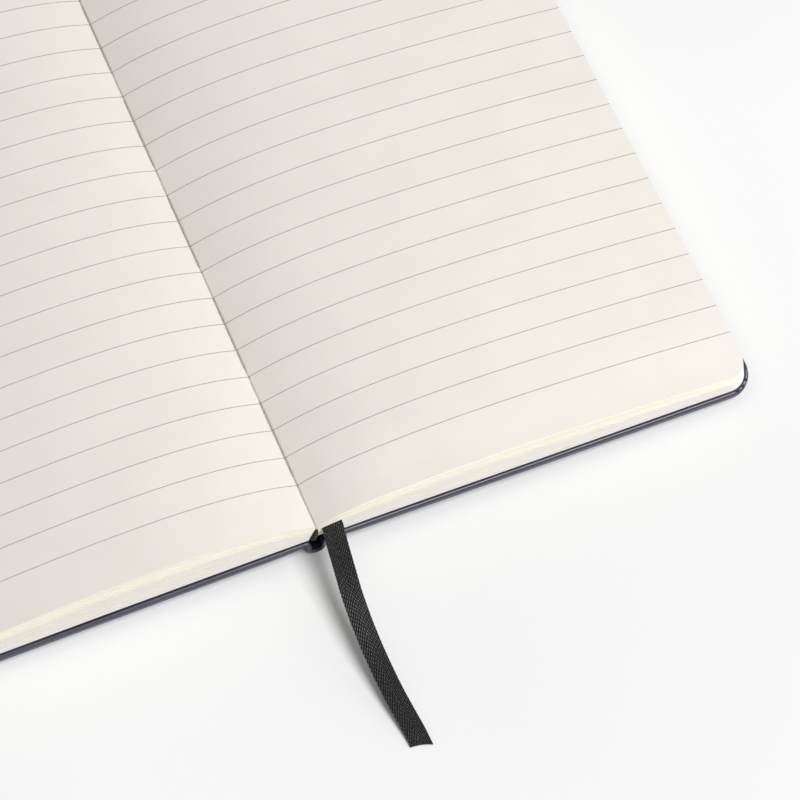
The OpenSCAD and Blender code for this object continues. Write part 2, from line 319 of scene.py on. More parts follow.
# Leaves
# Ninety-six leaves of uncoated cream paper, ruled in grey and die-cut to round corners. Those
# near the covers lie packed, and the upper ones fan out where the open spread arches.
page_w, page_corner_r, fore_lean, fore_square = 89.3, 4.2, 0.55, 1.8
fold_rise, fold_t, back_gap_w = 4.25, 0.5, 3
rise = {1: 6.4, -1: 7.5}
fall = {1: 6.55, -1: 8.6}
climb_run = 15
hinge_x, joint_z, fore_lift = 2.0, 3.25, 1.95
cover_run = page_w + fore_square - hinge_x
cover_tilt = math.atan((joint_z - fore_lift) / cover_run)
board_t, leather_t, glue_gap, paste_t, cover_gap = 0.9, 0.25, 0.03, 0.15, 0.1
cover_t = board_t + 2 * leather_t + 2 * glue_gap
page_base = (cover_t + glue_gap + paste_t + cover_gap) / math.cos(cover_tilt)
leaves_a_side, leaf_t = 48, 0.1
crease_depth, crease_w = 0.36, {1: 0.3, -1: 0.14}


def base_z(x):
    """Height of the underside of the leaves, which lies along the covers."""
    return joint_z + page_base - (abs(x) - hinge_x) * math.tan(cover_tilt)


fold_z = base_z(hinge_x) + fold_rise


def page_z(side, x):
    """Height of the open page: a quick climb out of the fold, then a slow fall to the fore edge."""
    return fold_z + rise[side] * (1 - math.exp(-x / climb_run)) - fall[side] * (x / page_w) ** 2


notch_top = fold_z - fold_t
notch_slope = (notch_top - base_z(back_gap_w / 2)) / (back_gap_w / 2)
packed_share, packed_ease, ease_from, ease_run = {1: 0.56, -1: 0.61}, 0.11, 25, 35
parting, parting_gap = 0.54, 0.1
window_from, window_open, window_to, window_close = 0.2, 0.9, 7.6, 1.8


def level(side, x, share):
    """Height in the block at a share of the leaves, counted up from the cover."""
    # The lower half of the leaves lies packed in this share of the block's height
    packed = packed_share[side]
    if side > 0:
        packed -= packed_ease * smooth((x - ease_from) / ease_run)
    if share < 0.5:
        lift = packed * share / 0.5
    else:
        lift = packed + (1 - packed) * (share - 0.5) / 0.5
    z = base_z(x) + lift * (page_z(side, x) - base_z(x))
    if side > 0:
        # The leaves part round the ribbon
        window = smooth((x - window_from) / window_open) * smooth((window_to - x) / window_close)
        middle = ribbon_exit_z + (x - ribbon_x) * math.tan(ribbon_lean)
        half = (ribbon_t / 2 + parting_gap) / math.cos(ribbon_lean)
        top, low = page_z(side, x), base_z(x)
        if share >= parting:
            parted = middle + half + (share - parting) / (1 - parting) * (top - middle - half)
        else:
            parted = low + share / parting * (middle - half - low)
        z += window * (parted - z)
    return z


# The upper leaves hang from off the fold on, a little less near the fore edge, and most at the tail
tail_droop, droop_from, droop_run, fore_less, less_from, less_run = 1.05, 4, 18, 0.3, 50, 39
tail_from, tail_run = 57, 13


def droop(side, x, y, share):
    """How far the upper right-hand leaves hang down towards their tail edge."""
    if side < 0:
        return 0
    off_fold = smooth((x - droop_from) / droop_run)
    off_fold *= 1 - fore_less * smooth((x - less_from) / less_run)
    to_tail = smooth((-y - tail_from) / tail_run)
    return tail_droop * off_fold * to_tail * max(0, share - parting) / (1 - parting)


ledge_drop, ledge_slope, ledge_w = 3.6, 1.1, 1.3


def notch_flank(side, x):
    """Height of the notch's flank, under which the right half has a ledge."""
    if side < 0:
        return notch_top - notch_slope * x
    return fold_z - ledge_drop - ledge_slope * max(0, x - ledge_w)


def leaf_start(side, share, step=0.02, furthest=3):
    """Where a leaf comes out of the sewn back: at the fold, or lower down on the notch's flank."""
    x = 0.0
    while x < furthest and level(side, x, share) < notch_flank(side, x) + step:
        x += step
    return x


def select_where(obj, kind, test):
    """In edit mode, selects the vertices, edges or faces that pass a test, and nothing else."""
    mesh = bmesh.from_edit_mesh(obj.data)
    bpy.ops.mesh.select_mode(type={"verts": "VERT", "edges": "EDGE", "faces": "FACE"}[kind])
    bpy.ops.mesh.select_all(action="DESELECT")
    for part in getattr(mesh, kind):
        part.select = test(part)
    mesh.select_flush_mode()
    bmesh.update_edit_mesh(obj.data)


def start_block(name, size, centre):
    """A block of a size at a place, in millimetres, left in edit mode."""
    bpy.ops.object.select_all(action="DESELECT")
    bpy.ops.mesh.primitive_cube_add(size=1, location=Vector(centre) * MM, scale=Vector(size) * MM)
    block = bpy.context.object
    block.name = block.data.name = name
    bpy.ops.object.transform_apply(location=True, rotation=True, scale=True)
    bpy.ops.object.mode_set(mode="EDIT")
    return block


def cut_at(axis, places):
    """Cuts the mesh in edit mode by planes across an axis, at places in millimetres."""
    for place in places:
        bpy.ops.mesh.select_all(action="SELECT")
        at, normal = [0, 0, 0], [0, 0, 0]
        at[axis], normal[axis] = place * MM, 1
        bpy.ops.mesh.bisect(plane_co=at, plane_no=normal)


def round_fore_corners(block, far_x, radius, steps):
    """Rounds the upright edges at the two fore corners of a slab."""
    select_where(block, "edges", lambda e: all(v.co.x > (far_x - 0.5) * MM for v in e.verts)
                 and abs(e.verts[0].co.z - e.verts[1].co.z) > 0.3 * MM)
    bpy.ops.mesh.bevel(offset=radius * MM, segments=steps, profile=0.5, affect="EDGES")


arc_steps = 10
flat_leaf = start_block("flat_leaf", (page_w, page_h, 1), (page_w / 2, 0, 0))
round_fore_corners(flat_leaf, page_w, page_corner_r, arc_steps)
# The leaf bends most beside the fold, so it is cut finest there, and across where the tail droops
columns = [0.06, 0.14, 0.24, 0.36, 0.5, 0.8, 1.3, 1.9, 2.6, 3.4, 4.3, 5.3, 6.4, 7.6, 9, 10.8, 13, 15.5,
           18.5, 22, 26, 30.5, 35.5, 41, 47, 53, 59, 65, 71, 76.5, 81]
columns += [page_w - page_corner_r + page_corner_r * math.sin(math.pi / 2 * k / arc_steps)
            for k in range(arc_steps)]
cut_at(0, columns)
cut_at(1, (-67.5, -65, -62, -57))
bpy.ops.object.mode_set(mode="OBJECT")

# No two leaves are cut or lie quite alike, apart from the two that lie open
random.seed(11)
cut_scatter, fill, drift_share, ripple_run = 0.12, 0.84, 0.35, 11
leaf_points, leaf_faces, leaf_kinds, leaf_tones = [], [], [], []
flat_points = [v.co / MM for v in flat_leaf.data.vertices]
flat_faces = [(tuple(p.vertices), abs(p.normal.z) > 0.5) for p in flat_leaf.data.polygons]
for side in (1, -1):
    for n in range(leaves_a_side):
        fanned = n >= leaves_a_side // 2
        share_low, share_high = n / leaves_a_side, (n + 1) / leaves_a_side
        start = leaf_start(side, share_low)
        short_tail, short_head, short_fore = (random.uniform(0, cut_scatter) for k in range(3))
        phase, tone = random.uniform(0, 6.28), random.random()
        if n == leaves_a_side - 1:
            short_tail = short_head = short_fore = 0
        first = len(leaf_points)
        for p in flat_points:
            reach = page_w + fore_lean * (1 - share_high) - short_fore
            x = start + p.x / page_w * (reach - start)
            top, low = level(side, x, share_high), level(side, x, share_low)
            gap = top - low
            thick = min(leaf_t, fill * gap)
            ripple = 1 + math.sin(x / ripple_run + phase)
            drift = 0.0 if n == leaves_a_side - 1 else drift_share * (gap - thick) * ripple
            crease = crease_depth * max(0, 1 - x / crease_w[side]) ** 2
            z = top - drift - (0 if p.z > 0 else thick) - crease - droop(side, x, p.y, share_high)
            y = p.y * (1 - (short_tail if p.y < 0 else short_head) / (page_h / 2))
            leaf_points.append(Vector((side * x, y, z)) * MM)
        for corners, flat in flat_faces:
            ring = [first + c for c in corners]
            leaf_faces.append(ring if side > 0 else ring[::-1])
            leaf_kinds.append(0 if flat else 1)
            leaf_tones.append((tone, 1.0 if fanned else 0.0))
bpy.data.objects.remove(flat_leaf)
leaves_mesh = bpy.data.meshes.new("leaves")
leaves_mesh.from_pydata(leaf_points, [], leaf_faces)
leaves = bpy.data.objects.new("leaves", leaves_mesh)
scene.collection.objects.link(leaves)
tone_layer = leaves_mesh.attributes.new("leaf_tone", "FLOAT", "FACE")
tone_layer.data.foreach_set("value", [t[0] for t in leaf_tones])
fan_layer = leaves_mesh.attributes.new("fanned", "FLOAT", "FACE")
fan_layer.data.foreach_set("value", [t[1] for t in leaf_tones])

# Uncoated cream paper is matt, with a faint cloudy tooth. The ruling is offset-printed in grey,
# 6.35 mm apart and 0.18 mm wide, from the fold to the fore edge. Here and below, the scale of a
# pattern is so many marks to the millimetre.
rule_pitch, rule_width, rule_low, rule_count = 6.35, 0.18, -60.64, 20
ink_specks, paper_tooth, paper_clouds = 2.6, 5.2, 0.09
paper_finish, shader = new_finish("ruled_cream_paper", roughness=0.85, specular=0.25)
place = add(paper_finish, "TexCoord")
axes = add(paper_finish, "SeparateXYZ", {0: place.outputs["Object"]})
line_number = add(paper_finish, "MapRange",
                  {0: axes.outputs["Y"], 1: rule_low * MM, 2: (rule_low + rule_pitch) * MM}, clamp=False)
nearest = add(paper_finish, "Math", {0: line_number.outputs[0]}, operation="ROUND")
offset = add(paper_finish, "Math", {0: line_number.outputs[0], 1: nearest.outputs[0]},
             operation="SUBTRACT")
distance = add(paper_finish, "Math", {0: offset.outputs[0]}, operation="ABSOLUTE")
rule_share, blurred, solid = rule_width / rule_pitch, 0.62, 0.38
on_line = add(paper_finish, "MapRange",
              {0: distance.outputs[0], 1: rule_share * blurred, 2: rule_share * solid})
in_range = add(paper_finish, "Math", {0: nearest.outputs[0], 1: (rule_count - 1) / 2, 2: rule_count / 2},
               operation="COMPARE")
ink = add(paper_finish, "Math", {0: on_line.outputs[0], 1: in_range.outputs[0]}, operation="MULTIPLY")
specks = add(paper_finish, "TexNoise",
             {"Vector": place.outputs["Object"], "Scale": ink_specks / MM, "Detail": 3})
worn_ink = add(paper_finish, "MapRange", {0: specks.outputs[0], 1: 0.3, 2: 0.6, 3: 0.7, 4: 1.0})
ink_amount = add(paper_finish, "Math", {0: ink.outputs[0], 1: worn_ink.outputs[0]}, operation="MULTIPLY")
cloud = add(paper_finish, "TexNoise",
            {"Vector": place.outputs["Object"], "Scale": paper_clouds / MM, "Detail": 6})
paper_shade = add(paper_finish, "ValToRGB", {0: cloud.outputs[0]})
paper_shade.color_ramp.elements[0].position = 0.35
paper_shade.color_ramp.elements[1].position = 0.65
paper_shade.color_ramp.elements[0].color = linear("#ede9e1")
paper_shade.color_ramp.elements[1].color = linear("#f0ece4")
inked = add(paper_finish, "Mix",
            {0: ink_amount.outputs[0], 6: paper_shade.outputs[0], 7: linear("#a5a39d")}, data_type="RGBA")
paper_finish.node_tree.links.new(inked.outputs[2], shader.inputs["Base Color"])
tooth = add(paper_finish, "TexNoise",
            {"Vector": place.outputs["Object"], "Scale": paper_tooth / MM, "Detail": 3})
tooth_bump = add(paper_finish, "Bump",
                 {"Strength": 0.12, "Distance": 0.02 * MM, "Height": tooth.outputs[0]})
paper_finish.node_tree.links.new(tooth_bump.outputs[0], shader.inputs["Normal"])

# Cut paper edges. Painted light makes the fanned leaves' edges a little brighter and yellower, and
# painted shade makes the packed leaves' edges greyer. Each leaf's tone also differs a little at random.
edge_finish, shader = new_finish("cut_leaf_edges", roughness=0.9, specular=0.15)
fan_share = add(edge_finish, "Attribute", attribute_name="fanned")
leaf_tone = add(edge_finish, "Attribute", attribute_name="leaf_tone")
# Painted light and shade: fanned edges lighter and yellower, packed edges greyer
painted_edge_light = add(edge_finish, "Mix",
                {0: fan_share.outputs["Fac"], 6: linear("#ebe7e2"), 7: linear("#fbf8e4")},
                data_type="RGBA")
tone_range = add(edge_finish, "MapRange", {0: leaf_tone.outputs["Fac"], 3: 0.9, 4: 1.0})
edge_shade = add(edge_finish, "Mix", {0: 1.0, 6: painted_edge_light.outputs[2], 7: tone_range.outputs[0]},
                 data_type="RGBA", blend_type="MULTIPLY")
edge_finish.node_tree.links.new(edge_shade.outputs[2], shader.inputs["Base Color"])
leaves_mesh.materials.append(paper_finish)
leaves_mesh.materials.append(edge_finish)
leaves_mesh.polygons.foreach_set("material_index", leaf_kinds)
face_outwards(leaves)
bpy.ops.object.shade_smooth_by_angle(angle=math.radians(35))
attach(leaves, "root")
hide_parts("text_block")

# Sewing thread
# Five long stitches of two-ply linen thread hold the middle gathering. They lie at the bottom
# of the fold, so only small turns of the thread show between the leaves.
stitch_len, stitch_pitch, stitch_count, stitch_lift = 17, 25, 5, 0.1
ply_r, ply_offset, ply_sides, twists, ply_steps = 0.085, 0.07, 6, 11, 68
end_tuck, end_dip, dip_from = 0.3, 0.16, 0.94
stitch_points, stitch_faces = [], []
for n in range(stitch_count):
    for ply in (0, 1):
        centre_y = (n - (stitch_count - 1) / 2) * stitch_pitch
        first = len(stitch_points)
        for k in range(ply_steps + 1):
            along = k / ply_steps
            y = centre_y + (along - 0.5) * (stitch_len + end_tuck)
            dip = end_dip * max(0, abs(along - 0.5) * 2 - dip_from) / (1 - dip_from)
            twist = along * 2 * math.pi * twists + ply * math.pi
            for m in range(ply_sides):
                a = 2 * math.pi * m / ply_sides
                x = ply_offset * math.cos(twist) + ply_r * math.cos(a)
                z = fold_z + stitch_lift - dip + ply_offset * math.sin(twist) + ply_r * math.sin(a)
                stitch_points.append(Vector((x, y, z)) * MM)
        rings = [[first + k * ply_sides + m for m in range(ply_sides)] for k in range(ply_steps + 1)]
        for here, there in zip(rings, rings[1:]):
            stitch_faces += [(here[m - 1], here[m], there[m], there[m - 1]) for m in range(ply_sides)]
        stitch_faces += [tuple(rings[0]), tuple(rings[-1])]
stitch_mesh = bpy.data.meshes.new("stitches")
stitch_mesh.from_pydata(stitch_points, [], stitch_faces)
stitches = bpy.data.objects.new("stitches", stitch_mesh)
scene.collection.objects.link(stitches)

# Waxed linen is off-white and a little glossy, with slubs that vary its tone at random
thread_finish, shader = new_finish("waxed_linen_thread", roughness=0.55, specular=0.4)
place = add(thread_finish, "TexCoord")
slubs = add(thread_finish, "TexNoise",
            {"Vector": place.outputs["Object"], "Scale": 3 / MM, "Detail": 3})
thread_shade = add(thread_finish, "ValToRGB", {0: slubs.outputs[0]})
thread_shade.color_ramp.elements[0].color = linear("#9c9684")
thread_shade.color_ramp.elements[1].color = linear("#cdc7b6")
thread_finish.node_tree.links.new(thread_shade.outputs[0], shader.inputs["Base Color"])
stitch_mesh.materials.append(thread_finish)
face_outwards(stitches)
bpy.ops.object.shade_smooth()
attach(stitches, "root")
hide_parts("sewing_thread")


def woven(finish, shader, dark, light, pitch, relief):
    """Plain weave: warp across and weft along, at a pitch in millimetres, coarse enough to show."""
    place = add(finish, "TexCoord")
    bands = math.pi / (10 * pitch * MM)
    warp, weft = (
        add(finish, "TexWave", {"Vector": place.outputs["Object"], "Scale": bands, "Distortion": 0.6},
            wave_type="BANDS", bands_direction=direction) for direction in "XY")
    crossing = add(finish, "Math", {0: warp.outputs["Fac"], 1: weft.outputs["Fac"]}, operation="MULTIPLY")
    fuzz = add(finish, "TexNoise", {"Vector": place.outputs["Object"], "Scale": 2.5 / MM, "Detail": 4})
    mixed = add(finish, "Math", {0: fuzz.outputs[0], 1: 0.5, 2: crossing.outputs[0]},
                operation="MULTIPLY_ADD")
    shade = add(finish, "ValToRGB", {0: mixed.outputs[0]})
    shade.color_ramp.elements[0].position = 0.2
    shade.color_ramp.elements[0].color = linear(dark)
    shade.color_ramp.elements[1].color = linear(light)
    finish.node_tree.links.new(shade.outputs[0], shader.inputs["Base Color"])
    bump = add(finish, "Bump", {"Strength": 0.6, "Distance": relief * MM, "Height": mixed.outputs[0]})
    finish.node_tree.links.new(bump.outputs[0], shader.inputs["Normal"])


def dress(name, finish):
    """Gives a CAD node its finish."""
    node = nodes[name]
    node.data.materials.clear()
    node.data.materials.append(finish)


lining_finish, shader = new_finish("black_book_cloth", roughness=0.85, specular=0.2)
woven(lining_finish, shader, "#141310", "#302d27", 0.3, 0.03)
dress("back_lining", lining_finish)

# Head and tail bands
# A cotton bead wrapped with black and olive thread lies at each end, along the front half's flank
# of the notch. It is thickest where it meets the case, and its wraps are 0.28 mm apart.
band_wrap, wrap_relief, bead_steps, bead_pitch, bead_sides = 0.28, 0.05, 14, 0.1, 18
bead_r, bead_swell, bead_past, bead_ring_step, bead_flat = 0.3, 0.36, 0.04, 0.03, 0.8
wrap_slant, fade_rate, fade_from, mean_r = 0.08, 4, 0.55, 0.4
band_finish, shader = new_finish("wrapped_cotton_band", roughness=0.8, specular=0.25)
thread_uv = add(band_finish, "UVMap", uv_map="wrap_mm")
axes = add(band_finish, "SeparateXYZ", {0: thread_uv.outputs[0]})
wrap = add(band_finish, "Math", {0: axes.outputs["X"], 1: math.pi / band_wrap}, operation="MULTIPLY")
wrap_wave = add(band_finish, "Math", {0: wrap.outputs[0]}, operation="SINE")
hairs = add(band_finish, "TexNoise", {"Vector": thread_uv.outputs[0], "Scale": 5, "Detail": 4})
wrap_mix = add(band_finish, "Math", {0: wrap_wave.outputs[0], 1: 0.35, 2: hairs.outputs[0]},
               operation="MULTIPLY_ADD")
band_shade = add(band_finish, "ValToRGB", {0: wrap_mix.outputs[0]})
band_shade.color_ramp.elements[0].position = 0.3
band_shade.color_ramp.elements[1].position = 0.85
band_shade.color_ramp.elements[0].color = linear("#14130f")
band_shade.color_ramp.elements[1].color = linear("#4c4738")
band_finish.node_tree.links.new(band_shade.outputs[0], shader.inputs["Base Color"])

flank_run = math.sqrt(1 + notch_slope**2)
bead_path = []
for k in range(bead_steps):
    down = bead_pitch * (k + 1)
    r = bead_r + bead_swell * smooth(down)
    x, z = notch_slope / flank_run * r - down, notch_top - notch_slope * down - r / flank_run
    bead_path.append((Vector((x, 0, z)), r))
line = along_route([p for p, r in bead_path], bead_ring_step)
for end, node_name in ((-1, "tail_band"), (1, "head_band")):
    points, measures, run_mm = [], [], 0
    for k, (place, p) in enumerate(line):
        if k:
            run_mm += (p - line[k - 1][1]).length
        run = (line[min(k + 1, len(line) - 1)][1] - line[max(k - 1, 0)][1]).normalized()
        out = run.cross(Vector((0, 1, 0)))
        fade = min(1, fade_rate * min(k, len(line) - 1 - k) / len(line) + fade_from)
        full_r = bead_path[min(bead_steps - 1, round(place))][1]
        for m in range(bead_sides):
            a = 2 * math.pi * m / bead_sides
            groove = abs(math.cos(math.pi * (run_mm + wrap_slant * math.sin(a)) / band_wrap))
            r = (full_r - wrap_relief * groove) * fade
            y = end * (page_h / 2 + bead_past) + r * math.sin(a) * bead_flat
            points.append((p + out * r * math.cos(a) + Vector((0, y, 0))) * MM)
            measures.append((run_mm, mean_r * a))
    rings = [[k * bead_sides + m for m in range(bead_sides)] for k in range(len(line))]
    faces = [(here[m - 1], here[m], there[m], there[m - 1])
             for here, there in zip(rings, rings[1:]) for m in range(bead_sides)]
    faces += [tuple(rings[0]), tuple(rings[-1])]
    bead_mesh = bpy.data.meshes.new(node_name + "_bead")
    bead_mesh.from_pydata(points, [], faces)
    bead = bpy.data.objects.new(node_name + "_bead", bead_mesh)
    scene.collection.objects.link(bead)
    wrap_uv = bead_mesh.uv_layers.new(name="wrap_mm")
    for loop in bead_mesh.loops:
        wrap_uv.data[loop.index].uv = measures[loop.vertex_index]
    bead_mesh.materials.append(band_finish)
    face_outwards(bead)
    bpy.ops.object.shade_smooth()
    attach(bead, "root")
    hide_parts(node_name)

# Boards
# Each cover is stiffened by a 0.9 mm greyboard, pressed from waste paper, cut square at the
# spine and rounded at the fore edge. It stops short of the joint, where only leatherette bends.
board_from, board_soft, cover_corner_r, pleat_room = 2.9, 0.12, 5.5, 4
cover_w = cover_run / math.cos(cover_tilt)
cover_h = page_h + 1
# Greyboard is dull and mottled, since fibres of all shades went into it
board_finish, shader = new_finish("pressed_greyboard", roughness=0.95, specular=0.1)
place = add(board_finish, "TexCoord")
fibre = add(board_finish, "TexNoise",
            {"Vector": place.outputs["Object"], "Scale": 0.9 / MM, "Detail": 8})
board_shade = add(board_finish, "ValToRGB", {0: fibre.outputs[0]})
board_shade.color_ramp.elements[0].color = linear("#6f6a61")
board_shade.color_ramp.elements[1].color = linear("#a59f94")
board_finish.node_tree.links.new(board_shade.outputs[0], shader.inputs["Base Color"])
bump = add(board_finish, "Bump",
           {"Strength": 0.4, "Distance": 0.05 * MM, "Height": fibre.outputs[0]})
board_finish.node_tree.links.new(bump.outputs[0], shader.inputs["Normal"])


def soften_faces(block, low, high, width, steps):
    """Bevels the rims of a slab's two large faces, which lie at heights low and high."""
    select_where(block, "edges", lambda e: len(e.link_faces) == 2 and any(
        all(abs(v.co.z / MM - h) < 0.01 for v in e.verts) for h in (low, high)) and any(
        abs(f.normal.z) < 0.5 for f in e.link_faces))
    bpy.ops.mesh.bevel(offset=width * MM, segments=steps, profile=0.5, affect="EDGES")


def place_cover(piece, side):
    """Turns and moves a piece made flat at the joint to its cover, and mirrors the front one."""
    bpy.ops.object.mode_set(mode="OBJECT")
    activate(piece)
    piece.rotation_euler = (0, cover_tilt, 0)
    piece.location = Vector((hinge_x, 0, joint_z)) * MM
    bpy.ops.object.transform_apply(location=True, rotation=True, scale=True)
    if side < 0:
        piece.scale = (-1, 1, 1)
        bpy.ops.object.transform_apply(location=True, rotation=True, scale=True)
    face_outwards(piece)


cover_names = {1: "back", -1: "front"}
for side in (1, -1):
    edge = leather_t + glue_gap
    board_to, board_h = cover_w - edge, cover_h - 2 * edge
    board = start_block(cover_names[side] + "_greyboard", (board_to - board_from, board_h, board_t),
                        ((board_to + board_from) / 2, 0, edge + board_t / 2))
    round_fore_corners(board, board_to, cover_corner_r + pleat_room, 12)
    soften_faces(board, edge, edge + board_t, board_soft, 2)
    place_cover(board, side)
    board.data.materials.append(board_finish)
    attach(board, cover_names[side] + "_cover")
    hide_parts(cover_names[side] + "_board")

# Cover leatherette
# Navy leatherette, a coated cotton cloth, is glued round each board and turned in over its
# edges by 12 mm. It is pleated at the round corners, and thins into a groove at the joint.
joint_lap, turn_in_w, bare_margin, roll_r, cell = 0.6, 12, 2.4, 0.5, 3.1
crease_spread, crease_gain, top_from, top_run = 4, 1.6, 0.5, 0.9
# How far the cloth stands off, dips, sags, is pulled in or is gathered, and over what run
cloth_slack, slack_from, slack_run, end_slack, end_run = 0.3, 3, 3, 0.12, 2
groove_depth, groove_run, sag, sag_run, pull_max, pull_run = 0.75, 2.3, 0.07, 4, 0.05, 1.2
broad_wave, fine_wave, pull_wave, gather_from, gather_run = 7, 2.6, 5, 3, 1.6
# The coating is embossed with a grain half a millimetre wide, and has a soft, patchy shine
leather_finish, shader = new_finish("navy_leatherette", roughness=0.42, specular=0.5, coat_weight=0.6,
                                   coat_roughness=0.16)
place = add(leather_finish, "TexCoord")
grain = add(leather_finish, "TexVoronoi", {"Vector": place.outputs["Object"], "Scale": 1.9 / MM},
            feature="DISTANCE_TO_EDGE")
pores = add(leather_finish, "TexNoise",
            {"Vector": place.outputs["Object"], "Scale": 3.5 / MM, "Detail": 3})
grain_height = add(leather_finish, "Math", {0: pores.outputs[0], 1: 0.35, 2: grain.outputs["Distance"]},
                   operation="MULTIPLY_ADD")
cloudy = add(leather_finish, "TexNoise",
             {"Vector": place.outputs["Object"], "Scale": 0.12 / MM, "Detail": 5})
leather_shade = add(leather_finish, "ValToRGB", {0: cloudy.outputs[0]})
leather_shade.color_ramp.elements[0].position = 0.3
leather_shade.color_ramp.elements[1].position = 0.7
leather_shade.color_ramp.elements[0].color = linear("#22223a")
leather_shade.color_ramp.elements[1].color = linear("#2c2d47")
leather_finish.node_tree.links.new(leather_shade.outputs[0], shader.inputs["Base Color"])
sheen_patch = add(leather_finish, "MapRange", {0: cloudy.outputs[0], 1: 0.3, 2: 0.7, 3: 0.36, 4: 0.5})
leather_finish.node_tree.links.new(sheen_patch.outputs[0], shader.inputs["Roughness"])
grain_bump = add(leather_finish, "Bump",
                 {"Strength": 0.45, "Distance": 0.04 * MM, "Height": grain_height.outputs[0]})
leather_finish.node_tree.links.new(grain_bump.outputs[0], shader.inputs["Normal"])


def pleat(angle):
    """Depth of the gathers in a turned-in corner, from -90 at the tail or head to 0 at the fore."""
    depth = 0
    for crest, width, amount in ((-78, 15, 0.4), (-60, 17, 0.6), (-41, 18, 0.6), (-22, 18, 0.45)):
        past = angle - crest
        if 0 <= past < width:
            depth = max(depth, amount * (1 - past / width))
        # The sharp crease at the foot of the gather
        depth = max(depth, crease_gain * amount * (1 - abs(past - crease_spread / 2) / crease_spread))
    return depth


for side in (1, -1):
    name = cover_names[side] + "_cover_leatherette"
    skin = start_block(name, (cover_w + joint_lap, cover_h, cover_t),
                       ((cover_w - joint_lap) / 2, 0, cover_t / 2))
    round_fore_corners(skin, cover_w, cover_corner_r, 30)
    soften_faces(skin, 0, cover_t, roll_r, 5)
    # Inside the turned-in edges the board is bare, until the endpaper covers it
    bare_from, bare_to = joint_lap + bare_margin, cover_w - turn_in_w
    bare_half = cover_h / 2 - turn_in_w
    cut_at(0, [0, 0.6, 1.1, 1.6, 2.1, 2.6, bare_from, 3.6, 5, 8] + [8 + cell * k for k in range(1, 22)]
           + [bare_to + 2 * k for k in range(4)])
    cut_at(1, sorted([s * (cover_h / 2 - d) for s in (-1, 1) for d in (1, 2, 3.5, 5.5, 8.5, turn_in_w)]
                     + [cell * k for k in range(-18, 19)]))
    select_where(skin, "faces", lambda f: f.normal.z > 0.9
                 and bare_from < f.calc_center_median().x / MM < bare_to
                 and abs(f.calc_center_median().y) / MM < bare_half)
    bpy.ops.mesh.delete(type="FACE")
    bpy.ops.object.mode_set(mode="OBJECT")
    for v in skin.data.vertices:
        x, y, z = v.co / MM
        top_side = smooth((z - top_from) / top_run)
        # The cloth stands a little off the board underneath and at the head and tail
        v.co.z -= cloth_slack * (1 - top_side) * smooth((x - slack_from) / slack_run) * MM
        near_end = smooth((abs(y) - cover_h / 2 + end_run) / end_run)
        v.co.y += math.copysign(end_slack * near_end * MM, y)
        # Groove at the joint, where the board has ended
        if z < groove_depth:
            into_groove = smooth((board_from - x) / groove_run)
            v.co.z += groove_depth * into_groove * (1 - z / groove_depth) * MM
        # Uneven pull of the cloth over the edge. The noise's third value picks another stretch of it.
        edge_x, edge_y = cover_w - x, cover_h / 2 - abs(y)
        inner_x, inner_y = cover_w - cover_corner_r, cover_h / 2 - cover_corner_r
        cornered = x > inner_x and abs(y) > inner_y
        arc = Vector((x - inner_x, abs(y) - inner_y)) if cornered else None
        rim = cover_corner_r - arc.length if cornered else min(edge_x, edge_y)
        near = max(0, 1 - rim / sag_run)
        wave = noise.noise(Vector((x / broad_wave, y / broad_wave, side * 3.7)))
        wave += 0.5 * noise.noise(Vector((x / fine_wave, y / fine_wave, side * 5.1)))
        v.co.z -= sag * near * top_side * (0.5 + 0.5 * wave) * MM
        if rim < pull_run and x > 1:
            tug = noise.noise(Vector((x / pull_wave, y / pull_wave, 9 + z)))
            pull = pull_max * (0.5 + 0.5 * tug) * MM
            if cornered:
                v.co.x -= pull * arc.x / cover_corner_r
                v.co.y -= math.copysign(pull * arc.y / cover_corner_r, y)
            elif edge_x < edge_y:
                v.co.x -= pull
            else:
                v.co.y -= math.copysign(pull, y)
        if cornered and arc.length > 0.5:
            gather = pleat(math.degrees(math.atan2(-arc.y, arc.x)))
            v.co.z -= gather * top_side * smooth((arc.length - gather_from) / gather_run) * MM
    activate(skin)
    thick = skin.modifiers.new("cloth", "SOLIDIFY")
    thick.thickness = leather_t * MM
    thick.offset = -1
    bpy.ops.object.modifier_apply(modifier="cloth")
    place_cover(skin, side)
    skin.data.materials.append(leather_finish)
    bpy.ops.object.shade_smooth_by_angle(angle=math.radians(40))
    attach(skin, cover_names[side] + "_cover")
    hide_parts(cover_names[side] + "_leatherette")

# Endpapers
# A plain cream sheet is pasted inside each cover, over the turned-in leatherette. A flat strip of it, cut
# across into cells, lies at the joint between the leaves and the cover.
hinge_strip_w, hinge_strip_t, hinge_strip_cells = 3.6, 0.08, 12
strip_sink, strip_short = 0.06, 0.6
strip_z = joint_z + page_base - strip_sink
# Endpaper is matt, with the same faint clouds as the leaves
endpaper_finish, shader = new_finish("cream_endpaper", roughness=0.85, specular=0.25)
place = add(endpaper_finish, "TexCoord")
cloud = add(endpaper_finish, "TexNoise",
            {"Vector": place.outputs["Object"], "Scale": paper_clouds / MM, "Detail": 6})
endpaper_shade = add(endpaper_finish, "ValToRGB", {0: cloud.outputs[0]})
endpaper_shade.color_ramp.elements[0].position = 0.35
endpaper_shade.color_ramp.elements[1].position = 0.65
endpaper_shade.color_ramp.elements[0].color = linear("#ece8df")
endpaper_shade.color_ramp.elements[1].color = linear("#f1ede4")
endpaper_finish.node_tree.links.new(endpaper_shade.outputs[0], shader.inputs["Base Color"])
for side in (1, -1):
    dress(cover_names[side] + "_pastedown", endpaper_finish)
    strip = start_block(cover_names[side] + "_endpaper_hinge",
                        (hinge_strip_w, page_h - strip_short, hinge_strip_t),
                        (side * (hinge_x + hinge_strip_w / 2), 0, strip_z))
    cut_at(0, [side * (hinge_x + hinge_strip_w * k / hinge_strip_cells)
               for k in range(1, hinge_strip_cells)])
    bpy.ops.object.mode_set(mode="OBJECT")
    face_outwards(strip)
    strip.data.materials.append(endpaper_finish)
    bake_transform(strip)
